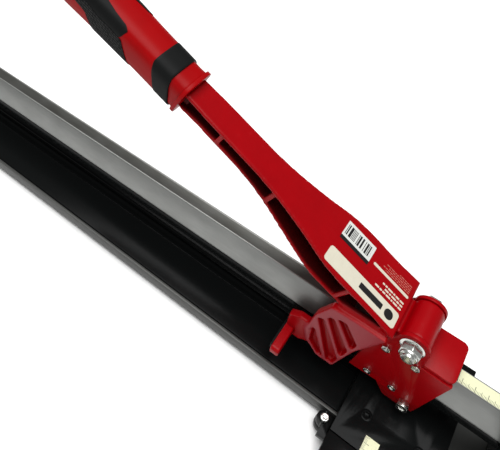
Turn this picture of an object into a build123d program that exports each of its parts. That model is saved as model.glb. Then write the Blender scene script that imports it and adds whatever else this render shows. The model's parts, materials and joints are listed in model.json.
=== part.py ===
from build123d import *
import os

# Single-rail manual tile cutter. Millimetres, +Z up, +X towards the front fence.
# The origin is on the feet plane, under the middle of the rail.

# Driving dimensions
RAIL_LENGTH = 1440.0        # the rail, end to end
RAIL_TOP = 94.0             # height of the rail's flat top
RAIL_BOTTOM = 60.0
RAIL_SEAM = 72.0            # ground steel above, black body below
RAIL_SHOULDER = 74.0        # where the ground slopes end
RAIL_FLAT = 6.0             # half width of the flat top
RAIL_HALF = 16.0            # half width of the rail
FOOT_HEIGHT = 5.0
TABLE_TOP = 19.0            # the surface that a tile lies on
BASE_HALF = 53.0            # half width of the base channel
BASE_HALF_LENGTH = 716.0
WALL = 3.0                  # channel wall
CAR_X = 590.0               # the carriage's and the lever's datum at rest
PIVOT_X = CAR_X - 3.0       # lever pivot at rest
PIVOT_Z = RAIL_TOP + 28.7
LEVER_TILT = 26.4           # degrees above level at rest
RIDGE = 0.6                 # how far the breaking ridge stands above the tables
FENCE_X = CAR_X - 23.5      # the edge that a tile is pushed against
FENCE_TOP = TABLE_TOP + 8.0
POST_INNER = 680.0
POST_OUTER = 716.0

# Carriage
CHEEK_IN = 16.6
CHEEK_OUT = 19.6
BOLT_R = 5.0
EAR_R = 12.8
BUSH_R = BOLT_R + 2
HUB_R = 12.0
HUB_HALF = 16.2
BEARING_R = 6.5
BEARING_HALF = 2.0
AXLE_R = 2.5
ROLL_GAP = 0.1
CAP_LOW = 10.6              # underside and top of the carriage's cap, above the rail
CAP_TOP = 14.5
CAP_HALF = 18.4
KEY = 5.0                   # across the flats of a cap screw's socket
CAP_DEEP = 6.0              # height of a cap screw's head
CAP_R = 4.8
SHANK_R = 3.0
AXLES = [(-17.0, RAIL_TOP + BEARING_R + ROLL_GAP), (7.0, RAIL_TOP + BEARING_R + ROLL_GAP),
         (-20.0, RAIL_BOTTOM - BEARING_R - ROLL_GAP), (2.0, RAIL_BOTTOM - BEARING_R - ROLL_GAP)]
TIE = (15.7, RAIL_TOP - 50.5)     # tie bolt under the rail
RUN = 0.05                  # radial running clearance

# Lever, in its own level frame: u runs from the pivot to the grip, v is up
PLATE_TOP = 0.8
PLATE = 3.5
LEVER_WIDTH = [(20, 28.0), (57, 27.0), (95, 25.5), (114, 21.3), (133, 17.9), (152, 15.2),
               (190, 13.4), (253, 12.0)]              # u and half width
LEVER_BELLY = [(22, -20.5), (45, -23.0), (76, -24.8), (98, -25.8), (121, -25.1), (142, -22.6),
               (162, -19.9), (192, -17.4), (226, -17.6), (253, -19.8)]    # u and height of the lower edge
GUSSET = [(-60, -22.5), (-22, -21), (-22, -1.5), (-28, -4.8)]          # the flank over the wing
RIBS_U = [64.0, 152.0, 211.0]
FLANGE = 3.0
NECK_DROP = 5.6             # the neck behind the hub lies this far below the lever's datum
WEB = 2.2                   # half thickness of the wall between the pockets
LEVER_END = 253.0           # where the plates meet the grip's rim
SLOT_U = 46.0               # the lever straddles the carriage up to here
WING_IN = 23.3
WING_OUT = 31.0
TANG_END = 300.0            # the tang is the bar inside the grip
TANG_HALF = 8.0
TANG_DEEP = 5.0
GRIP_START = 256.0          # where the collar's rim ends
GRIP_END = 400.0
GRIP_R = 20.0
GRIP_V = -9.0

# Breaker and cutting wheel, from the datum at the pivot's height, at rest
BAR_X = -90.0
BAR_Z = -69.5
BAR_HALF = 56.0
BAR_WIDE = 8.0
BAR_DEEP = 10.0
WHEEL_X = -62.0
WHEEL_Z = -75.7
WHEEL_R = 11.0
WHEEL_HALF = 1.2
PIN_R = 3.0

# Side arm
ARM_PIVOT = (FENCE_X - 7.2, -61.1)
ARM_WIDTH = 60.0
ARM_START = -69.0
ARM_END = -330.0
ARM_BOTTOM = 13.0
RULER_X = CAR_X + 8.5
RULER_WIDTH = 12.0
RULER_THICK = 0.5
STOP_Y = -220.0

written = []


def save(shape, node):
    """Write one node's solids."""
    if isinstance(shape, (list, tuple)):
        shape = Compound(children=list(shape))
    export_step(shape, f"parts/{node}.step")
    written.append(node)


def block(x0, x1, y0, y1, z0, z1):
    """A box from its corners."""
    return Pos((x0 + x1) / 2, (y0 + y1) / 2, (z0 + z1) / 2) * Box(x1 - x0, y1 - y0, z1 - z0)


def rod_y(x, z, r, y0, y1):
    """A cylinder along Y."""
    return Pos(x, (y0 + y1) / 2, z) * Rot(90, 0, 0) * Cylinder(r, y1 - y0)


def rod_z(x, y, r, z0, z1):
    """A cylinder along Z."""
    return Pos(x, y, (z0 + z1) / 2) * Cylinder(r, z1 - z0)


def socket_z(x, y, top, depth):
    """The hexagonal socket of a cap screw that points up."""
    return Pos(x, y, top - depth) * extrude(RegularPolygon(KEY / 2, 6, major_radius=False), depth)


def hex_y(x, z, flats, y0, y1):
    """A hexagonal prism along Y, sized across its flats."""
    face = RegularPolygon(flats / 2, 6, major_radius=False)
    return Pos(x, y1, z) * Rot(90, 0, 0) * extrude(face, y1 - y0)


def slab_y(points, y0, y1):
    """A polygon in the XZ plane, thickened from y0 to y1."""
    face = make_face(Polyline(*points, close=True))
    return Pos(0, y1, 0) * Rot(90, 0, 0) * extrude(face, y1 - y0)


def bar_x(points, x0, x1):
    """A YZ section drawn along X."""
    face = make_face(Plane.YZ * Polyline(*points, close=True))
    return Pos(x0, 0, 0) * extrude(face, x1 - x0, dir=(1, 0, 0))


def mirrored(shape):
    """The same shape on the far side."""
    return mirror(shape, about=Plane.XZ)


def tilted(shape):
    """Turn a shape from the lever's level frame to its rest place."""
    return Pos(CAR_X, 0, PIVOT_Z) * Rot(0, LEVER_TILT, 0) * shape


def rail_section():
    """The steel head's outline, one half mirrored to the other."""
    half = [(RAIL_FLAT, RAIL_TOP), (RAIL_HALF, RAIL_SHOULDER), (RAIL_HALF, RAIL_SEAM)]
    return half + [(-y, z) for y, z in reversed(half)]


def make_base():
    """Channel, centre bar, ridge, feet, tables and the rubber springs under them."""
    n = BASE_HALF
    lo = FOOT_HEIGHT
    outline = [(-n, lo), (n, lo), (n, TABLE_TOP), (n - WALL, TABLE_TOP), (n - WALL, lo + WALL),
               (-n + WALL, lo + WALL), (-n + WALL, TABLE_TOP), (-n, TABLE_TOP)]
    save(bar_x(outline, -BASE_HALF_LENGTH, BASE_HALF_LENGTH), "base_channel")

    bar_half = 11.0
    bar_top = TABLE_TOP - 1.5
    groove = 1.5
    table_x0 = -POST_INNER + 10
    table_x1 = FENCE_X - 1.0
    bar = block(table_x0, table_x1, -bar_half, bar_half, lo + WALL, bar_top)
    bar -= block(table_x0, table_x1, -groove, groove, bar_top - 2, bar_top)
    save(bar, "centre_bar")
    ridge = [(-groove, bar_top - 2), (groove, bar_top - 2), (groove, TABLE_TOP),
             (0, TABLE_TOP + RIDGE), (-groove, TABLE_TOP)]
    save(bar_x(ridge, table_x0, table_x1), "breaking_ridge")

    floor, soft = lo + WALL, 6.0
    side_gap = 0.5
    table = block(table_x0, table_x1, -n + WALL + side_gap, -bar_half - side_gap, floor + soft, TABLE_TOP)
    table = chamfer(table.edges().filter_by(Axis.X).group_by(Axis.Z)[-1], 0.6)
    save(table, "table_near")
    save(mirrored(table), "table_far")
    springs = [block(x - 40, x + 40, -38, -22, floor, floor + soft) for x in (-600, -330, -60, 210, 480)]
    save(springs, "rubber_springs_near")
    save([mirrored(c) for c in springs], "rubber_springs_far")

    places = [(x, y) for x in (-660, 660) for y in (-36, 36)] + [(0, 0)]
    feet = [rod_z(x, y, 14, 0, lo) for x, y in places]
    save([chamfer(f.edges().group_by(Axis.Z)[0], 1) for f in feet], "rubber_feet")


def make_rail():
    """Steel head, black body, posts, screws, collars and the scale strip."""
    half = RAIL_LENGTH / 2
    screws_x = [-707.0, -689.0, 689.0, 707.0]
    seat, top, tip = RAIL_TOP - CAP_DEEP - 1, RAIL_TOP - 1, RAIL_BOTTOM - 18
    steel = bar_x(rail_section(), -half, half)
    body = bar_x([(-RAIL_HALF, RAIL_BOTTOM), (RAIL_HALF, RAIL_BOTTOM), (RAIL_HALF, RAIL_SEAM),
                  (-RAIL_HALF, RAIL_SEAM)], -half, half)
    body = chamfer(body.edges().filter_by(Axis.X).group_by(Axis.Z)[0], 1.2)
    flange = FOOT_HEIGHT + WALL + 8
    posts = []
    for side in (-1, 1):
        x0, x1 = sorted((side * POST_INNER, side * POST_OUTER))
        post = block(x0, x1, -RAIL_HALF, RAIL_HALF, FOOT_HEIGHT + WALL, RAIL_BOTTOM)
        post += block(x0, x1, -34, 34, FOOT_HEIGHT + WALL, flange)
        posts.append(post)
    bolts = []
    for x in screws_x:
        bore = rod_z(x, 0, CAP_R + 0.2, seat, RAIL_TOP + 1)
        shank = rod_z(x, 0, SHANK_R, tip, seat)
        steel -= bore + shank
        body -= shank
        posts = [p - shank for p in posts]
        head = rod_z(x, 0, CAP_R, seat, top) - socket_z(x, 0, top, 3)
        bolts.append(head + shank)
    flange_screws = []
    for index, side in enumerate((-1, 1)):
        for y in (-25, 25):
            x = side * (POST_INNER + POST_OUTER) / 2
            shank = rod_z(x, y, SHANK_R, FOOT_HEIGHT + WALL, flange)
            posts[index] -= shank
            head = rod_z(x, y, CAP_R, flange, flange + CAP_DEEP) - socket_z(x, y, flange + CAP_DEEP, 3)
            flange_screws.append(head + shank)
    strip_deep = 0.3
    strip_half = RAIL_FLAT - 0.5
    strip = block(CAR_X + 37, POST_INNER - 9, -strip_half, strip_half, RAIL_TOP - strip_deep, RAIL_TOP)
    save(strip, "rail_scale")
    save(steel - strip, "rail_steel")
    save(body, "rail_body")
    save(posts[0], "rear_post")
    save(posts[1], "front_post")
    save(bolts, "rail_bolts")
    save(flange_screws, "post_screws")

    collar_half, collar_top, collar_low = 22.0, RAIL_TOP + 10, RAIL_SEAM - 6
    for x0, node in ((POST_INNER - 8, "front_buffer"), (-624.0, "rear_buffer")):
        collar = block(x0, x0 + 8, -collar_half, collar_half, collar_low, collar_top)
        collar = fillet(collar.edges().filter_by(Axis.X), 3)
        collar -= steel + body
        save(collar, node)


def make_front():
    """Front casting with its lug, the side arm, its rulers, foot, stop and knob."""
    front_x = FENCE_X + 84
    lug_x, lug_y = ARM_PIVOT
    lug_r, eye_r, hole_r = 6.8, 6.5, 2.2
    lo = FOOT_HEIGHT
    inner = BASE_HALF + 0.2
    casting = block(FENCE_X, front_x, -68, BASE_HALF, TABLE_TOP, FENCE_TOP)
    casting += block(FENCE_X, front_x, -68, -inner, lo, TABLE_TOP)
    casting += block(FENCE_X - 6, FENCE_X, -67, -inner, lo, ARM_BOTTOM - 0.4)
    casting += rod_z(lug_x, lug_y, lug_r, lo, ARM_BOTTOM - 0.4)
    casting = casting - block(lug_x - 20, FENCE_X + 5, -inner, -inner + 12, 0, TABLE_TOP)
    casting -= rod_z(lug_x, lug_y, hole_r, lo, ARM_BOTTOM)
    holes = [(FENCE_X + 20, -40), (FENCE_X + 20, 40), (FENCE_X + 66, -40), (FENCE_X + 66, 40)]
    screws = []
    for x, y in holes:
        head = rod_z(x, y, CAP_R, FENCE_TOP - CAP_DEEP, FENCE_TOP)
        casting -= head
        screws.append(head - socket_z(x, y, FENCE_TOP, 3))
    save(casting, "front_casting")
    save(screws, "casting_screws")
    ruler_x0, ruler_x1 = RULER_X - RULER_WIDTH / 2, RULER_X + RULER_WIDTH / 2
    save(block(ruler_x0, ruler_x1, -67.5, -54, FENCE_TOP, FENCE_TOP + RULER_THICK), "fence_ruler")

    arm_x1 = FENCE_X + ARM_WIDTH
    arm = block(FENCE_X, arm_x1, ARM_END, ARM_START, ARM_BOTTOM, FENCE_TOP)
    arm -= block(FENCE_X + 3, arm_x1 - 3, ARM_END + 3, ARM_START - 3, ARM_BOTTOM, FENCE_TOP - 3)
    arm = fillet(arm.edges().filter_by(Axis.Z).group_by(Axis.Y)[0], 6)
    web = block(lug_x, FENCE_X + 2, ARM_START - 6, lug_y + 2, ARM_BOTTOM, ARM_BOTTOM + 6)
    arm += web + rod_z(lug_x, lug_y, eye_r, ARM_BOTTOM, ARM_BOTTOM + 6)
    arm -= rod_z(lug_x, lug_y, hole_r + RUN, ARM_BOTTOM - 1, ARM_BOTTOM + 8)
    arm -= block(FENCE_X - 0.4, arm_x1 + 1, ARM_START, ARM_START + 20, ARM_BOTTOM - 1, FENCE_TOP + 1)
    slot_x = arm_x1 - 14
    slot_half = 3.0
    slot = block(slot_x - slot_half, slot_x + slot_half, ARM_END + 15, ARM_START - 12,
                 FENCE_TOP - 4, FENCE_TOP + 1)
    arm -= slot
    save(arm, "side_arm")
    ruler = block(ruler_x0, ruler_x1, ARM_END + 4, ARM_START - 1, FENCE_TOP, FENCE_TOP + RULER_THICK)
    save(ruler, "arm_ruler")
    foot = rod_z(arm_x1 - 30, ARM_END + 20, 9, 0, ARM_BOTTOM + 0.5)
    foot += rod_z(arm_x1 - 30, ARM_END + 20, 5, ARM_BOTTOM, FENCE_TOP - 3)
    save(foot, "arm_foot")
    pivot = rod_z(lug_x, lug_y, hole_r, lo, ARM_BOTTOM + 6.3)
    cap = rod_z(lug_x, lug_y, 3.6, ARM_BOTTOM + 6.3, ARM_BOTTOM + 10)
    cap = chamfer(cap.edges().group_by(Axis.Z)[-1], 0.5)
    save(pivot + cap - rod_z(lug_x, lug_y, 1.8, ARM_BOTTOM + 7.8, ARM_BOTTOM + 11), "arm_pivot_screw")
    make_stop(slot_x, slot_half)


def make_stop(slot_x, slot_half):
    """The measuring stop that slides along the side arm, and its knob."""
    arm_x1 = FENCE_X + ARM_WIDTH
    gap = 0.3
    stem_r = 2.5
    y0, y1 = STOP_Y - 6, STOP_Y + 6
    stop = block(FENCE_X - 20, arm_x1 - 4, y0, y1, FENCE_TOP + RULER_THICK + gap, FENCE_TOP + 7)
    stop += block(FENCE_X - 20, FENCE_X - gap, y0, y1, TABLE_TOP + 1, FENCE_TOP + 7)
    tongue = slot_half - 0.1
    stop += block(slot_x - tongue, slot_x + tongue, y0, y1, FENCE_TOP - 3.5, FENCE_TOP + 1)
    stop -= rod_z(slot_x, STOP_Y, stem_r + RUN, FENCE_TOP - 4, FENCE_TOP + 8)
    save(stop, "measuring_stop")
    knob = rod_z(slot_x, STOP_Y, 9, FENCE_TOP + 7.3, FENCE_TOP + 19)
    knob = fillet(knob.edges().group_by(Axis.Z)[-1], 2)
    for i in range(6):
        knob -= Pos(slot_x, STOP_Y, 0) * Rot(0, 0, 60 * i) * Pos(10.5, 0, FENCE_TOP + 13) * Cylinder(3, 14)
    knob += rod_z(slot_x, STOP_Y, stem_r, FENCE_TOP - 3.3, FENCE_TOP + 7.4)
    save(knob, "stop_knob")


def make_carriage():
    """Cheeks, top block, spacer, axles, sleeves, bearings and all their screws."""
    px, rt = CAR_X, RAIL_TOP
    points = [(-35, -49), (-10.5, -47), (-1, -60), (11, -60), (24, -57), (33.5, CAP_LOW), (9.8, CAP_LOW),
              (9.8, 28.7), (-3, 28.7), (-12.5, 34), (-27, 14)]
    cheek = slab_y([(px + x, rt + z) for x, z in points], -CHEEK_OUT, -CHEEK_IN)
    cheek += rod_y(PIVOT_X, PIVOT_Z, EAR_R, -CHEEK_OUT, -CHEEK_IN)
    cheek -= rod_y(PIVOT_X, PIVOT_Z, BOLT_R, -CHEEK_OUT - 1, -CHEEK_IN + 1)
    for x, z in AXLES:
        cheek -= rod_y(px + x, z, AXLE_R, -CHEEK_OUT - 1, -CHEEK_IN + 1)
    cheek -= rod_y(px + TIE[0], TIE[1], PIN_R, -CHEEK_OUT - 1, -CHEEK_IN + 1)
    save(cheek, "cheek_near")
    save(mirrored(cheek), "cheek_far")

    cap_end, roof = px + 34, BEARING_R * 2 + 0.3
    cap = block(px + 10.2, cap_end, -CAP_HALF, CAP_HALF, rt + CAP_LOW, rt + CAP_TOP)
    cap += block(px + 15.5, cap_end - 2.5, -CHEEK_IN, CHEEK_IN, rt + 1.5, rt + CAP_LOW)
    cap = fillet(cap.edges().filter_by(Axis.Z).group_by(Axis.X)[-1], 5)
    cap -= block(px, px + 14.5, -BEARING_HALF - 0.8, BEARING_HALF + 0.8, rt, rt + roof)
    save(cap, "carriage_block")
    save(block(px - 33, px - 27.5, -CHEEK_IN, CHEEK_IN, rt + 1.5, rt + 6), "carriage_spacer")

    axles, sleeves = [], []
    for x, z in AXLES:
        axles.append(rod_y(px + x, z, AXLE_R, -CHEEK_OUT, CHEEK_OUT))
        for y0, y1 in ((-CHEEK_IN, -BEARING_HALF - 0.2), (BEARING_HALF + 0.2, CHEEK_IN)):
            sleeves.append(rod_y(px + x, z, 3.6, y0, y1) - rod_y(px + x, z, AXLE_R, y0 - 1, y1 + 1))
    save(axles, "bearing_axles")
    save(sleeves, "bearing_sleeves")
    names = ["bearing_top_rear", "bearing_top_front", "bearing_low_rear", "bearing_low_front"]
    for name, (x, z) in zip(names, AXLES):
        ring = rod_y(px + x, z, BEARING_R, -BEARING_HALF, BEARING_HALF)
        ring = chamfer(ring.edges().filter_by(GeomType.CIRCLE), 0.4)
        ring -= rod_y(px + x, z, AXLE_R + RUN, -9, 9)
        save(ring, name)

    grubs = []
    for x, z in AXLES:
        grub = rod_y(px + x, z, 3.4, -CHEEK_OUT - 1.5, -CHEEK_OUT)
        grub -= hex_y(px + x, z, 3, -CHEEK_OUT - 2, -CHEEK_OUT - 0.5)
        grubs += [grub, mirrored(grub)]
    save(grubs, "set_screws")
    tie_x, tie_z = px + TIE[0], TIE[1]
    head = rod_y(tie_x, tie_z, 5, -CHEEK_OUT - 6, -CHEEK_OUT)
    head -= hex_y(tie_x, tie_z, KEY, -CHEEK_OUT - 7, -CHEEK_OUT - 3)
    save(rod_y(tie_x, tie_z, PIN_R, -CHEEK_OUT, CHEEK_OUT) + head + mirrored(head), "tie_bolt")

    flange_r = 9.5
    bolt = rod_y(PIVOT_X, PIVOT_Z, BOLT_R, -CHEEK_OUT - 11, CHEEK_OUT + 1.5)
    bolt += hex_y(PIVOT_X, PIVOT_Z, 15, CHEEK_OUT + 1.2, CHEEK_OUT + 4.6)
    save(bolt, "pivot_bolt")
    nut = rod_y(PIVOT_X, PIVOT_Z, flange_r, -CHEEK_OUT - 1.8, -CHEEK_OUT)
    nut += hex_y(PIVOT_X, PIVOT_Z, 15, -CHEEK_OUT - 8, -CHEEK_OUT - 1.7)
    save(nut - rod_y(PIVOT_X, PIVOT_Z, BOLT_R, -40, 0), "pivot_nut")
    washer = rod_y(PIVOT_X, PIVOT_Z, flange_r, CHEEK_OUT, CHEEK_OUT + 1.2)
    save(washer - rod_y(PIVOT_X, PIVOT_Z, BOLT_R, 0, 40), "pivot_washer")


def belly_band():
    """A strip one flange thick that stands on the belly curve, in the lever's level frame."""
    low = Spline(*[(-u, v) for u, v in LEVER_BELLY])
    high = Spline(*[(-u, v + FLANGE) for u, v in reversed(LEVER_BELLY)])
    return make_face([low, Line(low @ 1, high @ 0), high, Line(high @ 1, low @ 0)])


def side_area(v_top):
    """The area between a level top line and the belly curve."""
    line = Spline(*[(-u, v) for u, v in LEVER_BELLY])
    start, end = line @ 0, line @ 1
    return make_face([line, Line(end, (end.X, v_top)), Line((end.X, v_top), (start.X, v_top)),
                      Line((start.X, v_top), start)])


def plan_area(inset=0.0):
    """The lever's outline seen from above."""
    near = Spline(*[(-u, -w + inset) for u, w in LEVER_WIDTH])
    far = Spline(*[(-u, w - inset) for u, w in reversed(LEVER_WIDTH)])
    return make_face([near, Line(near @ 1, far @ 0), far, Line(far @ 1, near @ 0)])


def upright(face, y0, y1):
    """Thicken a side area, drawn in the XY plane as (-u, v), across the lever."""
    return Pos(0, y1, 0) * Rot(90, 0, 0) * extrude(face, y1 - y0)


def make_lever():
    """The cast lever with its hub, ribbed pockets and side wings."""
    deep = 40.0
    plate_low = PLATE_TOP - PLATE
    plate = Pos(0, 0, plate_low) * extrude(plan_area(), PLATE)
    plan = Pos(0, 0, -deep) * extrude(plan_area(1.2), deep)
    flange = upright(belly_band(), -deep, deep) & plan
    inside = upright(side_area(plate_low + 0.5), -deep, deep) & plan
    web = inside & block(-LEVER_END, 0, -WEB, WEB, -deep, deep)
    cast = plate + flange + web
    for u in RIBS_U:
        cast += inside & block(-u - 2, -u + 2, -deep, deep, -deep, deep)
    cast += inside & block(-30, -20, -deep, deep, -deep, deep)
    cheek_room = CHEEK_OUT + 1.7
    for side in (-1, 1):
        y0, y1 = sorted((side * HUB_HALF, side * cheek_room))
        cast -= block(-SLOT_U, 5, y0, y1, -deep, plate_low - 0.2)
    cast -= block(-SLOT_U, 5, -HUB_HALF, HUB_HALF, -deep, -10)
    cast += block(-SLOT_U - 2, -5, -HUB_HALF, HUB_HALF, -10, plate_low + 0.1)
    cast -= block(-20, -5, -CHEEK_OUT, CHEEK_OUT, -NECK_DROP, 1)
    cast += block(-TANG_END, 5 - LEVER_END, -TANG_HALF, TANG_HALF, GRIP_V - TANG_DEEP, GRIP_V + TANG_DEEP)
    for side in (-1, 1):
        y0, y1 = sorted((side * cheek_room, side * 26.4))
        cast += upright(make_face(Polyline(*GUSSET, close=True)), y0, y1)
    cast = tilted(cast)
    cast += rod_y(PIVOT_X, PIVOT_Z, HUB_R, -HUB_HALF, HUB_HALF)
    cast -= rod_y(PIVOT_X, PIVOT_Z, BUSH_R, -40, 40)
    cast -= rod_y(PIVOT_X, PIVOT_Z, EAR_R + 1, HUB_HALF, cheek_room)
    cast -= rod_y(PIVOT_X, PIVOT_Z, EAR_R + 1, -cheek_room, -HUB_HALF)

    near_wing = make_wing()
    cast += near_wing + mirrored(near_wing)
    save(cast, "lever")
    bush = rod_y(PIVOT_X, PIVOT_Z, BUSH_R, -HUB_HALF, HUB_HALF)
    save(bush - rod_y(PIVOT_X, PIVOT_Z, BOLT_R + RUN, -40, 40), "pivot_bush")


def make_wing():
    """One fan-shaped ribbed wing, on the near side, at its rest place."""
    px, rt = CAR_X, RAIL_TOP
    outline = [(-20, 33), (-36, -8.2), (-45.7, -49.8), (-61.6, -50.1), (-73.3, -36.6), (-77.8, -21.5),
               (-74.2, 7), (-64.7, 31), (-44, 33)]
    face_points = [(px + x, rt + z) for x, z in outline]
    wing = slab_y(face_points, -WING_OUT, -WING_IN)
    pockets = [
        [(-74.5, -20), (-71.5, -10), (-56, -47), (-61, -46.5), (-70.5, -35)],
        [(-71, 6), (-66.5, 9), (-44.5, -35), (-47, -46.5), (-52, -46.5)],
        [(-64, 14), (-60, 19), (-40.5, -14), (-43.5, -29)],
        [(-57, 22), (-50, 22.5), (-36.5, 3), (-38.5, -8)],
    ]
    for pocket in pockets:
        wing -= slab_y([(px + x, rt + z) for x, z in pocket], -WING_OUT - 1, -WING_OUT + 5)
    lug = [(-94, -47), (-80, -47), (-70, -40), (-72, -12), (-85, -12), (-94, -18)]
    wing += slab_y([(px + x, rt + z) for x, z in lug], -WING_OUT + 1, -WING_IN)
    bar = block(CAR_X + BAR_X - BAR_WIDE / 2, CAR_X + BAR_X + BAR_WIDE / 2, -BAR_HALF, BAR_HALF,
                PIVOT_Z + BAR_Z - BAR_DEEP / 2, PIVOT_Z + BAR_Z + BAR_DEEP / 2)
    return wing - bar


def make_breaker():
    """Breaker bar, rubber strip, wheel holder, wheel, its pin and screws."""
    bx, bz = CAR_X + BAR_X, PIVOT_Z + BAR_Z
    h = BAR_DEEP / 2
    w = BAR_WIDE / 2
    bar = block(bx - w, bx + w, -BAR_HALF, BAR_HALF, bz - h, bz + h)
    bar = fillet(bar.edges().filter_by(Axis.X), 3.5)
    bar = chamfer(bar.edges().filter_by(Axis.Y), 0.8)
    shank_r = 2.0
    drill = Pos(bx, 0, bz) * Rot(0, 90, 0) * Cylinder(shank_r, 40)
    save(bar - drill, "breaker_bar")
    strips = []
    for side in (-1, 1):
        y0, y1 = sorted((side * 8, side * (BAR_HALF - 4)))
        strips.append(block(bx - w - 1.8, bx - w, y0, y1, bz - h + 1, bz + h - 1))
    save(strips, "breaker_strips")
    wx, wz = CAR_X + WHEEL_X, PIVOT_Z + WHEEL_Z
    fork = block(bx + w, wx + 5, -5, 5, bz - h, bz + h - 1)
    fork += rod_y(wx, wz, 6, -5, 5)
    fork -= rod_y(wx, wz, WHEEL_R + 1.5, -WHEEL_HALF - 0.3, WHEEL_HALF + 0.3)
    fork -= rod_y(wx, wz, PIN_R, -9, 9)
    fork -= Pos(bx, 0, bz) * Rot(0, 90, 0) * Cylinder(shank_r, 2 * w + 15)
    save(fork, "wheel_holder")
    shank = Pos(bx + 2, 0, bz) * Rot(0, 90, 0) * Cylinder(shank_r, 2 * w + 9)
    shank = shank & block(bx - w, bx + w + 5, -5, 5, bz - 5, bz + 5)
    head = Pos(bx - w - 2, 0, bz) * Rot(0, 90, 0) * Cylinder(3.8, 4)
    save(shank + head, "holder_screw")
    save(rod_y(wx, wz, PIN_R, -5.8, 5.8), "wheel_pin")
    rim = 0.3
    core = rod_y(wx, wz, WHEEL_R - 2, -WHEEL_HALF, WHEEL_HALF)
    bevel = Cone(WHEEL_R - 2, WHEEL_R, WHEEL_HALF - rim / 2, align=(Align.CENTER, Align.CENTER, Align.MIN))
    edge = Pos(wx, WHEEL_HALF, wz) * Rot(90, 0, 0) * bevel
    wheel = core + edge + mirrored(edge) + rod_y(wx, wz, WHEEL_R, -rim / 2, rim / 2)
    save(wheel - rod_y(wx, wz, PIN_R + RUN, -9, 9), "cutting_wheel")


def ring(u0, u1, r0, r1):
    """A round sleeve about the grip's centreline, in the level frame."""
    place = Pos(-(u0 + u1) / 2, 0, GRIP_V) * Rot(0, 90, 0)
    shape = place * Cylinder(r1, u1 - u0)
    return shape - place * Cylinder(r0, u1 - u0 + 2) if r0 else shape


def make_grip():
    """Grip core, collar, band, side pads, end cap and the labels on the lever."""
    tang = block(-TANG_END, -200, -TANG_HALF, TANG_HALF, GRIP_V - TANG_DEEP, GRIP_V + TANG_DEEP)
    collar = ring(GRIP_START - 3, GRIP_START, 0, 21) + ring(GRIP_START, GRIP_START + 12, 0, 18.5)
    keep_out = block(-GRIP_START + 4, -200, -12.6, 12.6, -21, PLATE_TOP + 0.2)
    save(tilted(collar - tang - keep_out), "grip_collar")
    recess = 2.0
    band_u0, band_u1 = GRIP_START + 12, GRIP_START + 36
    pad_u0, pad_u1 = TANG_END, GRIP_END - 14
    core = ring(band_u0, GRIP_END, 0, GRIP_R) - tang
    core -= ring(band_u0, band_u1, GRIP_R - recess, GRIP_R + 5)
    pad_zone = block(-pad_u1, -pad_u0, -30, -2, GRIP_V - 14, GRIP_V + 16)
    pad = ring(pad_u0, pad_u1, GRIP_R - recess, GRIP_R + 0.6) & pad_zone
    middle = ring(pad_u0, pad_u1, 0, GRIP_R - recess) - tang
    save(tilted(core - pad_zone - mirrored(pad_zone) + middle), "grip_core")
    save(tilted(ring(band_u0, band_u1, GRIP_R - recess, GRIP_R)), "grip_band")
    save(tilted(pad), "grip_inlay_near")
    save(tilted(mirrored(pad)), "grip_inlay_far")
    cap = ring(GRIP_END, GRIP_END + 8, 0, GRIP_R + 0.5)
    save(tilted(fillet(cap.edges().group_by(Axis.X)[0], 4)), "grip_end_cap")
    thick = 0.3
    stripe = block(-96, -24, -23.5, -9.5, PLATE_TOP, PLATE_TOP + thick)
    stripe = fillet(stripe.edges().filter_by(Axis.Z), 2.5)
    sticker = block(-94.5, -65, 1, 19, PLATE_TOP, PLATE_TOP + thick)
    save([tilted(stripe), tilted(sticker)], "labels")


def main():
    os.makedirs("parts", exist_ok=True)
    make_base()
    make_rail()
    make_front()
    make_carriage()
    make_lever()
    make_breaker()
    make_grip()
    print(len(written), "nodes")


main()
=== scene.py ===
"""Looks of a single-rail manual tile cutter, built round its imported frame."""

import json
import math

import bmesh
import bpy
from bpy.props import FloatProperty, FloatVectorProperty, IntProperty, PointerProperty
from mathutils import Matrix, Vector

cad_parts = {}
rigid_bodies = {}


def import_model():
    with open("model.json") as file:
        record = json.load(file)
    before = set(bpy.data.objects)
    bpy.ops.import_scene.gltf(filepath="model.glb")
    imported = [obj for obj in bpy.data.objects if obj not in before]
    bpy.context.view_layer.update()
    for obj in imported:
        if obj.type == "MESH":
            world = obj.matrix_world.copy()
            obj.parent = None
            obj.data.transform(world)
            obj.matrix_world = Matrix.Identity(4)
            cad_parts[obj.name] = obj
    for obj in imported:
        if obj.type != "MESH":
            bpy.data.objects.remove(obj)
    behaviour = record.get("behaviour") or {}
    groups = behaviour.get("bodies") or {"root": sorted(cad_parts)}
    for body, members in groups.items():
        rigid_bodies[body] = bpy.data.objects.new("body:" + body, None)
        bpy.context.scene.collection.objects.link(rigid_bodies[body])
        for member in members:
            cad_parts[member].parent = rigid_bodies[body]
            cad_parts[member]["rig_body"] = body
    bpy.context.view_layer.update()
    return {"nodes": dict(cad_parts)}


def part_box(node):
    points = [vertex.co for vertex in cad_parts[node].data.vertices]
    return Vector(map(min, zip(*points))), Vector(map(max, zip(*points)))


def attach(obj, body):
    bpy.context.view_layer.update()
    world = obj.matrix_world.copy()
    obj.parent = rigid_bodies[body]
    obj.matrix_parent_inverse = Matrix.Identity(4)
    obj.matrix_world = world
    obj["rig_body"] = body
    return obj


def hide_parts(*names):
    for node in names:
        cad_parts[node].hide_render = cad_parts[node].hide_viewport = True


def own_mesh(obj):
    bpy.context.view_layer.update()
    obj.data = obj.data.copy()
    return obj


bl_info = {
    "name": "Manual Tile Cutter",
    "version": (1, 0, 0),
    "blender": (4, 5, 0),
    "location": "3D View > Sidebar > Tile Cutter",
    "description": "Builds the finished pieces of a single-rail manual tile cutter",
    "category": "Object",
}

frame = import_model()

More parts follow.
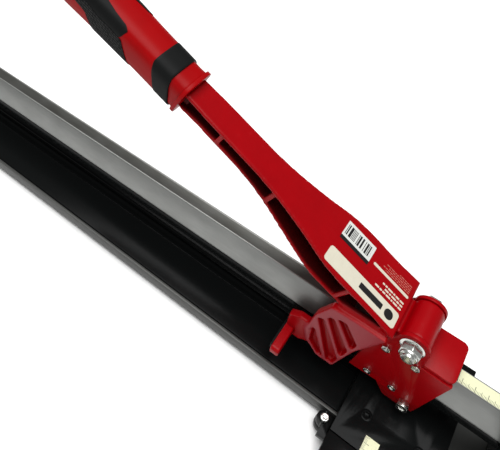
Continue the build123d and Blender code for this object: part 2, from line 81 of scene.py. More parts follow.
MM = 0.001
CM = 10 * MM
WELD = 0.002 * MM               # corners nearer than this are one corner
FLAT = math.radians(1.0)        # faces turned less than this are one face
SHARP = math.radians(32)        # edges turned more than this get rounded
CREASE = math.radians(38)       # edges turned more than this shade sharp
RIM = math.radians(50)          # edges of the grip's pieces turned more than this get rounded
SKIN = 0.3 * MM                 # how near a face a point counts as lying on it


# ---------------------------------------------------------------- sizes from the frame

def middle(node):
    """The centre of a node's box."""
    low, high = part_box(node)
    return (low + high) / 2


PIVOT = middle("pivot_bush")
LEVER_TILT = math.radians(26.4)
RAIL_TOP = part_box("rail_steel")[1].z
CHEEK_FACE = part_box("cheek_far")[1].y
FENCE_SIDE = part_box("front_casting")[0].x + 6.0 * MM      # the arm's rear side
GRIP_DROP = 9.0                 # mm, the grip's centreline below the pivot's level, at its front
GRIP_FRONT = 262                # mm from the pivot
GRIP_LONG = 138                 # mm
GRIP_SAG = 1.2                  # mm, how much lower the centreline is at the grip's rear
GRIP_TALL = 0.97                # the grip's height against its width
# The wings' outer faces get a painted sheen.
WING_FACE = 30.2 * MM           # the wings' outer faces lie further than this from the middle
DATUM = PIVOT + Vector((3.0 * MM, 0, 0))     # origin of the lever's level frame
TO_REST = Matrix.Translation(DATUM) @ Matrix.Rotation(LEVER_TILT, 4, "Y")
TO_LEVEL = TO_REST.inverted()


# ---------------------------------------------------------------- settings

def shade(name, text, value):
    """A colour setting."""
    return FloatVectorProperty(name=name, description=text, subtype="COLOR", size=3, min=0, max=1,
                               default=value)


def length(name, text, value, low, high):
    """A length setting, from lengths in millimetres."""
    return FloatProperty(name=name, description=text, unit="LENGTH", default=value * MM, min=low * MM,
                         max=high * MM)


def watts(name, text, value):
    """A light's power."""
    return FloatProperty(name=name, description=text, unit="POWER", default=value, min=0, max=1000)


class CutterColours(bpy.types.PropertyGroup):
    """Colours of the tile cutter's finishes."""

    enamel: shade("Enamel", "Gloss red of the castings", (0.26, 0.0, 0.002))
    plastic: shade("Grip plastic", "Red of the grip's body", (0.27, 0.0, 0.001))
    black: shade("Black paint", "Gloss black of the bed and the fences", (0.004, 0.0045, 0.0045))
    steel: shade("Ground steel", "Rail's ground slopes", (0.25, 0.255, 0.245))
    # The rail top's darker colour is painted shade.
    steel_top: shade("Rail top", "Rail's flat top, left as rolled", (0.07, 0.07, 0.063))
    zinc: shade("Zinc", "Nuts, bolts and screws", (0.62, 0.63, 0.60))
    edge: shade("Bed sides", "Anodised sides of the bed", (0.05, 0.051, 0.048))
    rubber: shade("Rubber", "Feet, buffers and grip inlays", (0.0032, 0.0035, 0.0035))
    film: shade("Label film", "Cream film of the labels", (0.55, 0.52, 0.42))
    tape: shade("Scale tape", "Pale yellow of the scales", (0.66, 0.67, 0.44))


class CutterSizes(bpy.types.PropertyGroup):
    """Sizes of the tile cutter's finishing details."""

    casting_edge: length("Casting edge", "Rounding of the cast edges", 1.0, 0.1, 3)
    plate_edge: length("Plate edge", "Rounding of cut and folded plate", 0.5, 0.05, 2)
    screw_edge: length("Screw edge", "Rounding of nuts and screw heads", 0.3, 0.05, 1)
    grip_half: length("Grip half width", "Half the grip's width at its middle", 18.2, 14, 24)
    casting_cell: length("Casting cell", "Grain of the lever's one-piece skin", 1.0, 0.6, 2)
    round_steps: IntProperty(name="Round steps", description="Sides of the turned pieces", default=64,
                             min=24, max=128)


class CutterStudio(bpy.types.PropertyGroup):
    """The floor, the lights and the camera."""

    floor_half: FloatProperty(name="Floor half width", description="Half the width of the pale floor",
                              unit="LENGTH", default=9.0, min=2, max=30)
    key_power: watts("Key light", "Power of the large overhead light", 98.0)
    fill_power: watts("Fill light", "Power of the light from the near side", 4.0)
    sky: FloatProperty(name="Surround", description="Brightness of the even surround", default=0.34,
                       min=0, max=5)
    camera_place: FloatVectorProperty(name="Camera place", description="Where the camera stands",
                                      subtype="TRANSLATION", unit="LENGTH",
                                      default=(0.5487, -0.2581, 0.5215))
    camera_turn: FloatVectorProperty(name="Camera turn", description="How the camera is turned",
                                     subtype="EULER", unit="ROTATION",
                                     default=tuple(math.radians(a) for a in (46.70, -4.09, 36.23)))
    camera_lens: FloatProperty(name="Lens", description="Focal length in millimetres", default=39.65,
                               min=10, max=200)


# ---------------------------------------------------------------- materials

class Wire:
    """One shader socket. Sums written with wires add the Math nodes that work them out."""

    def __init__(self, finish, socket):
        self.finish = finish
        self.socket = socket

    def sum(self, operation, *others):
        values = dict(enumerate([self, *others]))
        return self.finish.node("ShaderNodeMath", {"operation": operation}, values)

    def __add__(self, other):
        return self.sum("ADD", other)

    __radd__ = __add__

    def __mul__(self, other):
        return self.sum("MULTIPLY", other)

    __rmul__ = __mul__

    def __sub__(self, other):
        return self.sum("SUBTRACT", other)

    def __rsub__(self, other):
        return self.finish.node("ShaderNodeMath", {"operation": "SUBTRACT"}, {0: other, 1: self})

    def __truediv__(self, other):
        return self.sum("DIVIDE", other)

    def __mod__(self, other):
        return self.sum("FLOORED_MODULO", other)

    def __gt__(self, other):
        return self.sum("GREATER_THAN", other)

    def __lt__(self, other):
        return self.sum("LESS_THAN", other)

    def __abs__(self):
        return self.sum("ABSOLUTE")

    def floor(self):
        return self.sum("FLOOR")

    def most(self, other):
        return self.sum("MAXIMUM", other)


class Finish:
    """A material and the nodes that feed its shader."""

    def __init__(self, name, colour, roughness, metallic=0.0, **constants):
        self.material = bpy.data.materials.new(name)
        self.material.use_nodes = True
        self.tree = self.material.node_tree
        self.tree.nodes.clear()
        self.shader = self.tree.nodes.new("ShaderNodeBsdfPrincipled")
        output = self.tree.nodes.new("ShaderNodeOutputMaterial")
        self.tree.links.new(self.shader.outputs["BSDF"], output.inputs["Surface"])
        self.set("Base Color", (*colour, 1.0))
        self.set("Roughness", roughness)
        self.set("Metallic", metallic)
        for key, value in constants.items():
            self.set(key.replace("_", " "), value)
        self.material.diffuse_color = (*colour, 1.0)
        self.material.roughness = roughness
        self.material.metallic = metallic

    def set(self, socket, value):
        """Give one of the shader's sockets a constant or a wire."""
        self.plug(self.shader.inputs[socket], value)

    def plug(self, socket, value):
        if isinstance(value, Wire):
            self.tree.links.new(value.socket, socket)
        else:
            socket.default_value = value

    def node(self, kind, settings, values, out=0):
        """Add a node: its settings first, then the values or wires of its sockets."""
        added = self.tree.nodes.new(kind)
        for key, value in settings.items():
            if key == "stops":
                self.stops(added.color_ramp, value)
            else:
                setattr(added, key, value)
        for key, value in values.items():
            self.plug(added.inputs[key], value)
        return Wire(self, added.outputs[out])

    def stops(self, ramp, stops):
        while len(ramp.elements) < len(stops):
            ramp.elements.new(0.5)
        for element, (position, value) in zip(ramp.elements, stops):
            element.position = position
            element.color = (value, value, value, 1.0)

    def place(self, location=(0, 0, 0), rotation=(0, 0, 0), scale=(1, 1, 1)):
        """Object coordinates, seen from a frame that stands at location and is turned by rotation."""
        spot = self.node("ShaderNodeTexCoord", {}, {}, "Object")
        return self.node("ShaderNodeMapping", {"vector_type": "TEXTURE"},
                         {"Vector": spot, "Location": location, "Rotation": rotation, "Scale": scale})

    def axes(self, spot):
        return [self.node("ShaderNodeSeparateXYZ", {}, {"Vector": spot}, i) for i in range(3)]

    def attribute(self, name):
        return self.node("ShaderNodeAttribute", {"attribute_name": name}, {}, "Fac")

    def noise(self, spot, scale, detail=3.0, rough=0.5):
        return self.node("ShaderNodeTexNoise", {}, {"Vector": spot, "Scale": scale, "Detail": detail,
                                                    "Roughness": rough})

    def ramp(self, value, *stops):
        return self.node("ShaderNodeValToRGB", {"stops": stops}, {"Fac": value})

    def mix(self, factor, first, second):
        first, second = [v if isinstance(v, Wire) else (*v, 1.0) for v in (first, second)]
        return self.node("ShaderNodeMix", {"data_type": "RGBA"}, {0: factor, 6: first, 7: second}, 2)

    def bump(self, height, distance, strength=1.0):
        """Raise the surface by a wire, at most by distance in metres."""
        self.set("Normal", self.node("ShaderNodeBump", {}, {"Height": height, "Distance": distance,
                                                            "Strength": strength}))


def scaled(colour, factor):
    return tuple(min(1.0, c * factor) for c in colour)


def casting_enamel(colours):
    """Gloss red over a casting, darker in the pockets as painted shade and paler on the wings' outer faces
    as a painted sheen, where the two layers say.
    """
    red = tuple(colours.enamel)
    f = Finish("casting_enamel", red, 0.3, Specular_IOR_Level=0.1)
    spot = f.place()
    peel = f.noise(spot, 900, 2)
    wave = f.noise(spot, 60, 2)
    scuff = f.ramp(f.noise(spot, 240, 5, 0.7), (0.60, 0.0), (0.68, 1.0))
    pocket = f.attribute("pocket")
    pale = f.attribute("pale")
    coat = f.mix(wave, scaled(red, 0.88), scaled(red, 1.12))
    # Painted shade: the pockets are darkened almost to black.
    dark = f.mix(pocket * 0.88, coat, (0.012, 0.0, 0.0))
    # Painted sheen: the wings' outer faces are mixed towards a pale pink, a little more where scuffed.
    f.set("Base Color", f.mix(pale * (0.75 + scuff * 0.2), dark, (0.26, 0.035, 0.045)))
    f.set("Roughness", 0.25 + peel * 0.1 + scuff * 0.14 + pocket * 0.3)
    f.bump(peel * 0.6 + wave * 2.0, 0.10 * MM, 0.5)


def moulded_red(colours):
    """Red moulded plastic with a faint grain."""
    red = tuple(colours.plastic)
    f = Finish("moulded_red", red, 0.36, Specular_IOR_Level=0.08)
    spot = f.place()
    grain = f.noise(spot, 1500, 2)
    f.set("Base Color", f.mix(f.noise(spot, 45, 2), scaled(red, 0.85), scaled(red, 1.1)))
    f.set("Roughness", 0.30 + grain * 0.14)
    f.bump(grain, 0.03 * MM, 0.6)


def gloss_black(colours):
    """Gloss black paint with orange peel and a little dust."""
    black = tuple(colours.black)
    f = Finish("gloss_black", black, 0.2, Specular_IOR_Level=0.05)
    spot = f.place()
    peel = f.noise(spot, 700, 2)
    dust = f.ramp(f.noise(spot, 420, 6, 0.75), (0.66, 0.0), (0.74, 1.0))
    f.set("Base Color", f.mix(dust, black, (0.02, 0.02, 0.02)))
    f.set("Roughness", 0.16 + peel * 0.08 + dust * 0.2)
    f.bump(peel, 0.05 * MM, 0.4)


def arm_paint(colours):
    """Black paint on an extrusion whose two long sides are left plain grey."""
    black = tuple(colours.black)
    far_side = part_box("side_arm")[1].x
    f = Finish("arm_paint", black, 0.25, Specular_IOR_Level=0.08)
    spot = f.place()
    x = f.axes(spot)[0]
    peel = f.noise(spot, 700, 2)
    lines = f.noise(f.place(scale=(0.0015, 0.5, 0.0015)), 3, 4, 0.6)
    side = (x > far_side - SKIN).most(abs(x - FENCE_SIDE) < SKIN)
    grey = f.mix(lines, scaled(colours.edge, 1.0), scaled(colours.edge, 1.6))
    f.set("Base Color", f.mix(side, black, grey))
    f.set("Roughness", 0.18 + peel * 0.1 + side * 0.16)
    f.bump(peel, 0.05 * MM, 0.4)


def ground_steel(colours):
    """Rail steel: ground slopes with lengthwise lines, a flat top coloured darker as painted shade, and a
    painted highlight along the top's two edges.
    """
    f = Finish("ground_rail", tuple(colours.steel), 0.38, 0.85)
    lines = f.noise(f.place(scale=(0.4, 0.001, 0.001)), 3.2, 4, 0.65)
    patch = f.noise(f.place(scale=(0.05, 0.02, 0.02)), 1.5, 3)
    _, y, z = f.axes(f.place())
    top_half, highlight_width = 5.7 * MM, 0.9 * MM
    top = z > RAIL_TOP - 0.6 * MM
    # Painted highlight: a bright line along both edges of the flat top.
    ridge = f.ramp(abs(abs(y) - top_half) / highlight_width, (0.0, 1.0), (1.0, 0.0)) * top
    slope = f.mix(lines, scaled(colours.steel, 0.8), scaled(colours.steel, 1.2))
    # Painted shade: the flat top takes a darker colour than the slopes.
    flat = f.mix(lines, scaled(colours.steel_top, 0.8), scaled(colours.steel_top, 1.25))
    cloud = f.ramp(patch, (0.35, 0.0), (0.7, 0.35))
    cloudy = f.mix(cloud, f.mix(top, slope, flat), scaled(colours.steel, 0.6))
    # The painted highlight is mixed in here.
    f.set("Base Color", f.mix(ridge * 0.6, cloudy, scaled(colours.steel, 1.9)))
    f.set("Roughness", 0.32 + lines * 0.16 + patch * 0.08)
    f.bump(lines, 0.02 * MM, 0.5)


def bright_steel():
    """Turned and polished steel."""
    f = Finish("turned_steel", (0.58, 0.58, 0.57), 0.24, 1.0)
    spot = f.place(scale=(0.002, 0.02, 0.002))
    line = f.noise(spot, 3, 3)
    f.set("Roughness", 0.18 + line * 0.14)
    f.bump(line, 0.01 * MM, 0.4)


def zinc_plate(colours):
    """Bright zinc with a faint cloudy bloom."""
    zinc = tuple(colours.zinc)
    f = Finish("zinc_plate", zinc, 0.25, 1.0)
    bloom = f.noise(f.place(), 500, 4, 0.6)
    f.set("Base Color", f.mix(bloom, scaled(zinc, 0.8), scaled(zinc, 1.15)))
    f.set("Roughness", 0.16 + bloom * 0.2)
    f.bump(f.noise(f.place(), 2600, 2), 0.01 * MM, 0.5)


def anodised_edge(colours):
    """Dark grey extrusion with drawn lines along its length."""
    grey = tuple(colours.edge)
    f = Finish("anodised_edge", grey, 0.42, 0.55)
    lines = f.noise(f.place(scale=(0.5, 0.0015, 0.0015)), 3, 4, 0.6)
    f.set("Base Color", f.mix(lines, scaled(grey, 0.8), scaled(grey, 1.25)))
    f.set("Roughness", 0.36 + lines * 0.16)
    f.bump(lines, 0.015 * MM, 0.5)


def plain_rubber(colours):
    """Matt moulded rubber."""
    black = tuple(colours.rubber)
    f = Finish("plain_rubber", black, 0.6, Specular_IOR_Level=0.08)
    spot = f.place()
    grain = f.noise(spot, 1800, 3)
    f.set("Base Color", f.mix(f.noise(spot, 90, 2), scaled(black, 0.8), scaled(black, 1.5)))
    f.set("Roughness", 0.52 + grain * 0.16)
    f.bump(grain, 0.05 * MM, 0.6)


def scaly_rubber(colours):
    """Grip rubber with small raised scales in slanted rows, coloured darker in the gaps as painted shade and
    paler on the tops as a painted highlight.
    """
    black = tuple(colours.rubber)
    f = Finish("scaly_rubber", black, 0.5, Specular_IOR_Level=0.1)
    spot = f.place(location=DATUM, rotation=(0, LEVER_TILT, math.radians(12)))
    scales = f.node("ShaderNodeTexVoronoi", {"feature": "F1"},
                    {"Vector": spot, "Scale": 430.0, "Randomness": 0.35})
    dome = f.ramp(scales, (0.25, 1.0), (0.75, 0.0))
    # Painted shade in the gaps between the scales and a painted highlight on their tops.
    f.set("Base Color", f.mix(dome, scaled(black, 0.35), scaled(black, 1.7)))
    f.set("Roughness", 0.62 - dome * 0.2)
    f.bump(dome, 0.6 * MM, 0.9)


def inlay_rubber(colours):
    """The smooth, slightly greyer inlay on the grip's shoulder."""
    black = scaled(colours.rubber, 1.5)
    f = Finish("inlay_rubber", black, 0.5, Specular_IOR_Level=0.08)
    grain = f.noise(f.place(), 1400, 2)
    f.set("Base Color", f.mix(grain, scaled(black, 0.85), scaled(black, 1.2)))
    f.set("Roughness", 0.42 + grain * 0.14)
    f.bump(grain, 0.03 * MM, 0.5)


def bronze_bush():
    """Plain bearing bronze."""
    f = Finish("bronze_bush", (0.45, 0.28, 0.1), 0.35, 1.0)
    bloom = f.noise(f.place(), 400, 3)
    f.set("Base Color", f.mix(bloom, (0.36, 0.21, 0.07), (0.55, 0.36, 0.14)))
    f.set("Roughness", 0.28 + bloom * 0.18)


def label_film(colours):
    """Cream film, slightly mottled."""
    cream = tuple(colours.film)
    f = Finish("cream_film", cream, 0.35, Specular_IOR_Level=0.2)
    cloud = f.noise(f.place(), 180, 4)
    f.set("Base Color", f.mix(cloud, scaled(cream, 0.93), scaled(cream, 1.05)))
    f.set("Roughness", 0.30 + cloud * 0.12)


def bar_film():
    """White sticker with plain upright bars and a dark foot."""
    white = (0.56, 0.57, 0.54)
    f = Finish("bar_film", white, 0.35, Specular_IOR_Level=0.2)
    x, y, _ = f.axes(f.place(location=DATUM, rotation=(0, LEVER_TILT, 0)))
    cell = (x / (0.55 * MM)).floor()
    pick = f.node("ShaderNodeTexWhiteNoise", {"noise_dimensions": "1D"}, {"W": cell})
    bars = (pick > 0.5) * (y > 6.5 * MM) * (y < 16.5 * MM) * (x < -67.0 * MM) * (x > -93.0 * MM)
    foot = y < 4.2 * MM
    f.set("Base Color", f.mix(bars.most(foot), white, (0.01, 0.01, 0.01)))
    f.set("Roughness", 0.32 + bars * 0.1)


def print_ink(name, colour):
    """Flat printing ink with a slightly worn edge."""
    f = Finish(name, colour, 0.45, Specular_IOR_Level=0.1)
    worn = f.noise(f.place(), 1600, 3)
    f.set("Base Color", f.mix(worn, scaled(colour, 0.7), scaled(colour, 1.1)))
    f.set("Roughness", 0.38 + worn * 0.14)


def scale_tape(colours, name, along, rest):
    """Scale tape with a tick for each millimetre, longer at five and ten.

    along is 0 for X and 1 for Y, and rest is where the ticks start on the other axis.
    """
    tape = tuple(colours.tape)
    f = Finish(name, tape, 0.45)
    axes = f.axes(f.place())
    run = abs(axes[along]) / MM
    side = (axes[1 - along] - rest) / MM
    ones, fives, tens = [(abs((run + step / 2) % step - step / 2) < half) * (side < tall)
                         for step, half, tall in ((1.0, 0.12, 2.6), (5.0, 0.16, 3.8), (10.0, 0.2, 5.0))]
    ticks = ones.most(fives).most(tens)
    grime = f.ramp(f.noise(f.place(), 500, 5, 0.7), (0.55, 0.0), (0.72, 0.35))
    worn = f.mix(grime, tape, (0.30, 0.30, 0.2))
    f.set("Base Color", f.mix(ticks, worn, (0.03, 0.03, 0.025)))
    f.set("Roughness", 0.38 + grime * 0.3)


def pale_floor():
    """Plain pale floor."""
    f = Finish("pale_floor", (0.93, 0.93, 0.925), 0.8)
    cloud = f.noise(f.place(), 3, 2)
    f.set("Base Color", f.mix(cloud, (0.92, 0.92, 0.915), (0.94, 0.94, 0.935)))
    return f.material


def paint(name):
    """A named material, which the materials step made."""
    return bpy.data.materials[name]


# ---------------------------------------------------------------- shapes

def welded(node):
    """A copy of a node's skin with its corners joined and its flat faces whole."""
    shell = bmesh.new()
    shell.from_mesh(frame["nodes"][node].data)
    bmesh.ops.remove_doubles(shell, verts=shell.verts, dist=WELD)
    bmesh.ops.dissolve_limit(shell, angle_limit=FLAT, verts=shell.verts, edges=shell.edges)
    return shell


def bevel(shell, edges, radius, segments=2):
    """Round the given edges of a shell."""
    bmesh.ops.bevel(shell, geom=edges, offset=radius, offset_type="OFFSET", affect="EDGES",
                    segments=segments, profile=0.5, material=-1, clamp_overlap=True)


def round_edges(shell, radius, segments=2):
    """Round the sharp edges of a shell."""
    edges = [e for e in shell.edges if len(e.link_faces) == 2 and e.calc_face_angle() > SHARP]
    bevel(shell, edges, radius, segments)
    return shell


def round_rims(shell, radius):
    """Round the rims of a piece of the grip."""
    bevel(shell, [e for e in shell.edges if e.calc_face_angle(0.0) > RIM], radius)


def turned(profile, axis="Y", centre=(0, 0, 0), closed=False, steps=None):
    """Spin a profile of (along, out) points in millimetres about an axis through the centre."""
    shell = bmesh.new()
    corners = [shell.verts.new((along * MM, 0, out * MM)) for along, out in profile]
    pairs = list(zip(corners, corners[1:] + corners[:1])) if closed else list(zip(corners, corners[1:]))
    edges = [shell.edges.new(pair) for pair in pairs]
    steps = steps or bpy.context.scene.cutter_sizes.round_steps
    bmesh.ops.spin(shell, geom=corners + edges, cent=(0, 0, 0), axis=(1, 0, 0), dvec=(0, 0, 0),
                   angle=math.tau, steps=steps, use_merge=True, use_duplicate=False)
    bmesh.ops.remove_doubles(shell, verts=shell.verts, dist=WELD)
    bmesh.ops.recalc_face_normals(shell, faces=shell.faces)
    turn = {"X": Matrix.Identity(3), "Y": Matrix.Rotation(math.pi / 2, 3, "Z"),
            "Z": Matrix.Rotation(-math.pi / 2, 3, "Y")}[axis]
    bmesh.ops.rotate(shell, verts=shell.verts, cent=(0, 0, 0), matrix=turn)
    bmesh.ops.translate(shell, verts=shell.verts, vec=centre)
    return shell


def slab(low, high):
    """A box between two corners."""
    low, high = Vector(low), Vector(high)
    shell = bmesh.new()
    bmesh.ops.create_cube(shell, size=1.0)
    bmesh.ops.scale(shell, verts=shell.verts, vec=high - low)
    bmesh.ops.translate(shell, verts=shell.verts, vec=(low + high) / 2)
    return shell


def as_mesh(shell, name):
    """A mesh with a shell's shape. It uses up the shell."""
    mesh = bpy.data.meshes.new(name)
    shell.to_mesh(mesh)
    shell.free()
    return mesh


def as_shell(holder):
    """A shell of an object's finished shape. It uses up the object."""
    bpy.context.scene.collection.objects.link(holder)
    bpy.context.view_layer.update()
    finished = holder.evaluated_get(bpy.context.evaluated_depsgraph_get())
    mesh = bpy.data.meshes.new_from_object(finished)
    bpy.data.objects.remove(holder)
    shell = bmesh.new()
    shell.from_mesh(mesh)
    bpy.data.meshes.remove(mesh)
    return shell


def joined(shells):
    """Several shells in one."""
    whole = bmesh.new()
    for shell in shells:
        part = as_mesh(shell, "part")
        whole.from_mesh(part)
        bpy.data.meshes.remove(part)
    return whole


def mirrored(shell):
    """The same shell on the far side."""
    bmesh.ops.scale(shell, verts=shell.verts, vec=(1, -1, 1))
    bmesh.ops.reverse_faces(shell, faces=shell.faces)
    return shell


def piece(name, shell, body, material, nodes=(), crease=CREASE):
    """Turn a shell into a finished piece that rides on a body and stands for the nodes."""
    for face in shell.faces:
        face.smooth = True
    for edge in shell.edges:
        edge.smooth = len(edge.link_faces) == 2 and edge.calc_face_angle(0.0) < crease
    mesh = as_mesh(shell, name)
    mesh.materials.append(paint(material))
    made = bpy.data.objects.new(name, mesh)
    bpy.context.scene.collection.objects.link(made)
    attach(made, body)
    if nodes:
        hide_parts(*nodes)
    return made


def rounded(node, radius, material, segments=2):
    """A node's own shape with rounded edges."""
    shell = round_edges(welded(node), radius, segments)
    return piece(node + "_finished", shell, frame["nodes"][node]["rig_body"], material, [node])


def repaint(node, material):
    """Give a node that keeps its CAD shape a finished material."""
    mesh = frame["nodes"][node].data
    mesh.materials.clear()
    mesh.materials.append(paint(material))


def skin(shell, cell, passes):
    """One smooth cast skin over a shell, with softened inner and outer corners."""
    block = bpy.data.objects.new("casting", as_mesh(shell, "casting"))
    remesh = block.modifiers.new("Skin", "REMESH")
    remesh.mode = "VOXEL"
    remesh.voxel_size = cell
    shell = as_shell(block)
    for _ in range(passes):
        bmesh.ops.smooth_vert(shell, verts=shell.verts, factor=0.5, use_axis_x=True, use_axis_y=True,
                              use_axis_z=True)
    return shell


def at_rest(shell):
    """Turn a shell from the lever's level frame to its rest place."""
    bmesh.ops.transform(shell, matrix=TO_REST, verts=shell.verts)
    return shell


# ---------------------------------------------------------------- the grip's form

def grip_half_width(u):
    """Half width of the grip at a distance u from the pivot, both in millimetres."""
    swell = between([(247, 0.0), (262, -0.5), (300, -0.3), (345, 0.6), (375, 1.6), (408, 1.2)], u)
    return bpy.context.scene.cutter_sizes.grip_half / MM + swell


def squared(direction, power=3.3):
    """How far a rounded square reaches in a direction, against a circle of its half width."""
    c, s = abs(direction.x), abs(direction.y)
    return (c ** power + s ** power) ** (-1 / power)


def grip_point(u, angle, lift=0.0):
    """A point on the grip's skin in the level frame. The angle runs from the near side over the top."""
    direction = Vector((-math.cos(angle), math.sin(angle)))
    out = grip_half_width(u) * squared(direction) + lift
    drop = -GRIP_DROP - GRIP_SAG * (u - GRIP_FRONT) / GRIP_LONG
    return Vector((-u, direction.x * out, drop + direction.y * out * GRIP_TALL)) * MM


def grip_sleeve(start, end, lift, hang_start=0.0, hang_end=0.0, depth=2.2, rings=10):
    """A closed sleeve round the grip. Below the shoulders its two rims move along by the hangs."""
    shell = turned([(0, 1), (1, 1), (1, 0.5), (0, 0.5)], "X", closed=True)
    cuts = [e for e in shell.edges if abs(e.verts[0].co.x - e.verts[1].co.x) > 0.5 * MM]
    bmesh.ops.subdivide_edges(shell, edges=cuts, cuts=rings, use_grid_fill=True)
    for corner in shell.verts:
        share = corner.co.x / MM
        inner = math.hypot(corner.co.y, corner.co.z) < 0.75 * MM
        angle = math.atan2(corner.co.z, -corner.co.y)
        below = 1.0 - min(1.0, max(0.0, (math.sin(angle) + 0.75) / 1.45))
        first = start + hang_start * below
        last = end + hang_end * below
        corner.co = grip_point(first + share * (last - first), angle, lift - (depth if inner else 0.0))
    bmesh.ops.recalc_face_normals(shell, faces=shell.faces)
    round_rims(shell, 0.5 * MM)
    return shell


def between(table, u):
    """Read a table of (u, value) pairs, straight between them."""
    for (u0, a), (u1, b) in zip(table, table[1:]):
        if u <= u1:
            return a + (b - a) * max(0.0, (u - u0) / (u1 - u0))
    return table[-1][1]


def grip_patch(start, end, low, high, lift, depth=1.6):
    """A raised inlay on the grip's near side, between two edges given as tables of u and degrees."""
    shell = bmesh.new()
    bmesh.ops.create_grid(shell, x_segments=44, y_segments=26, size=0.5)
    for corner in shell.verts:
        u = start + (corner.co.x + 0.5) * (end - start)
        share = corner.co.y + 0.5
        lower, upper = between(low, u), between(high, u)
        corner.co = grip_point(u, math.radians(lower + share * (upper - lower)), lift)
    bmesh.ops.recalc_face_normals(shell, faces=shell.faces)
    if sum(f.normal.y for f in shell.faces) > 0:      # the near side faces -Y
        bmesh.ops.reverse_faces(shell, faces=shell.faces)
    bmesh.ops.solidify(shell, geom=shell.faces[:] + shell.edges[:] + shell.verts[:], thickness=depth * MM)
    bmesh.ops.recalc_face_normals(shell, faces=shell.faces)
    round_rims(shell, 0.45 * MM)
    return shell


# ---------------------------------------------------------------- operators

class Maker:
    """What every build step of the tile cutter shares."""

    bl_options = {"REGISTER", "UNDO"}

    @property
    def sizes(self):
        return bpy.context.scene.cutter_sizes


class CUTTER_OT_finishes(Maker, bpy.types.Operator):
    """Make the materials of every piece"""

    bl_idname = "cutter.finishes"
    bl_label = "Finishes"

    def execute(self, context):
        colours = context.scene.cutter_colours
        for make in (casting_enamel, moulded_red, gloss_black, arm_paint, ground_steel, zinc_plate,
                     anodised_edge, plain_rubber, scaly_rubber, inlay_rubber, label_film):
            make(colours)
        for make in (bright_steel, bronze_bush, bar_film):
            make()
        scale_tape(colours, "arm_tape", 1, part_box("arm_ruler")[0].x)
        scale_tape(colours, "rail_tape", 0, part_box("rail_scale")[0].y)
        print_ink("dark_ink", (0.015, 0.015, 0.015))
        print_ink("cream_ink", (0.62, 0.55, 0.45))
        print_ink("faint_ink", (0.45, 0.16, 0.13))
        return {"FINISHED"}


class CUTTER_OT_bed(Maker, bpy.types.Operator):
    """Build the bed: channel, centre bar, breaking ridge, tables, springs and feet"""

    bl_idname = "cutter.bed"
    bl_label = "Bed and tables"

    def execute(self, context):
        rounded("base_channel", 0.5 * MM, "anodised_edge")
        rounded("centre_bar", 0.4 * MM, "gloss_black")
        repaint("breaking_ridge", "gloss_black")
        for side in ("near", "far"):
            rounded(f"table_{side}", 0.4 * MM, "gloss_black")
            springs = rounded(f"rubber_springs_{side}", 1.0 * MM, "plain_rubber")
            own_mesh(springs)
        rounded("rubber_feet", 0.8 * MM, "plain_rubber")
        return {"FINISHED"}


class CUTTER_OT_rail(Maker, bpy.types.Operator):
    """Build the rail with its posts, bolts, buffers and scale"""

    bl_idname = "cutter.rail"
    bl_label = "Rail and posts"

    def execute(self, context):
        rounded("rail_steel", 0.35 * MM, "ground_rail")
        rounded("rail_body", 0.4 * MM, "gloss_black")
        for node in ("rear_post", "front_post"):
            rounded(node, self.sizes.casting_edge, "gloss_black")
        for node in ("rail_bolts", "post_screws"):
            rounded(node, self.sizes.screw_edge, "zinc_plate")
        for node in ("front_buffer", "rear_buffer"):
            rounded(node, 0.8 * MM, "plain_rubber")
        repaint("rail_scale", "rail_tape")
        return {"FINISHED"}


class CUTTER_OT_front(Maker, bpy.types.Operator):
    """Build the front fence casting, its screws and its scale"""

    bl_idname = "cutter.front"
    bl_label = "Front fence"

    def execute(self, context):
        rounded("front_casting", self.sizes.casting_edge, "gloss_black")
        rounded("casting_screws", self.sizes.screw_edge, "gloss_black")
        rounded("arm_pivot_screw", self.sizes.screw_edge, "zinc_plate")
        repaint("fence_ruler", "arm_tape")
        return {"FINISHED"}


class CUTTER_OT_side_arm(Maker, bpy.types.Operator):
    """Build the folding side arm with its scale, numbers, foot, stop and knob"""

    bl_idname = "cutter.side_arm"
    bl_label = "Side arm and stop"

    def execute(self, context):
        rounded("side_arm", self.sizes.plate_edge, "arm_paint")
        rounded("arm_foot", 0.8 * MM, "plain_rubber")
        repaint("arm_ruler", "arm_tape")
        rounded("measuring_stop", self.sizes.plate_edge, "gloss_black")
        rounded("stop_knob", self.sizes.casting_edge, "moulded_red")
        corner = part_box("arm_ruler")[1]
        digits = [self.number(str(number), corner.x - 3.2 * MM, -number * CM, corner.z)
                  for number in range(8, 33)]
        piece("arm_numbers", joined(digits), "side_arm", "dark_ink")
        return {"FINISHED"}

    def number(self, text, x, y, z):
        """A small flat number that stands on the tape and reads from the side."""
        curve = bpy.data.curves.new("number", "FONT")
        curve.body = text
        curve.size = 4.6 * MM
        curve.align_x = "CENTER"
        curve.align_y = "CENTER"
        curve.resolution_u = 3
        curve.extrude = 0.04 * MM
        shell = as_shell(bpy.data.objects.new("number", curve))
        bmesh.ops.remove_doubles(shell, verts=shell.verts, dist=WELD)
        bmesh.ops.rotate(shell, verts=shell.verts, cent=(0, 0, 0),
                         matrix=Matrix.Rotation(math.pi / 2, 3, "Z"))
        bmesh.ops.translate(shell, verts=shell.verts, vec=(x, y, z))
        return shell


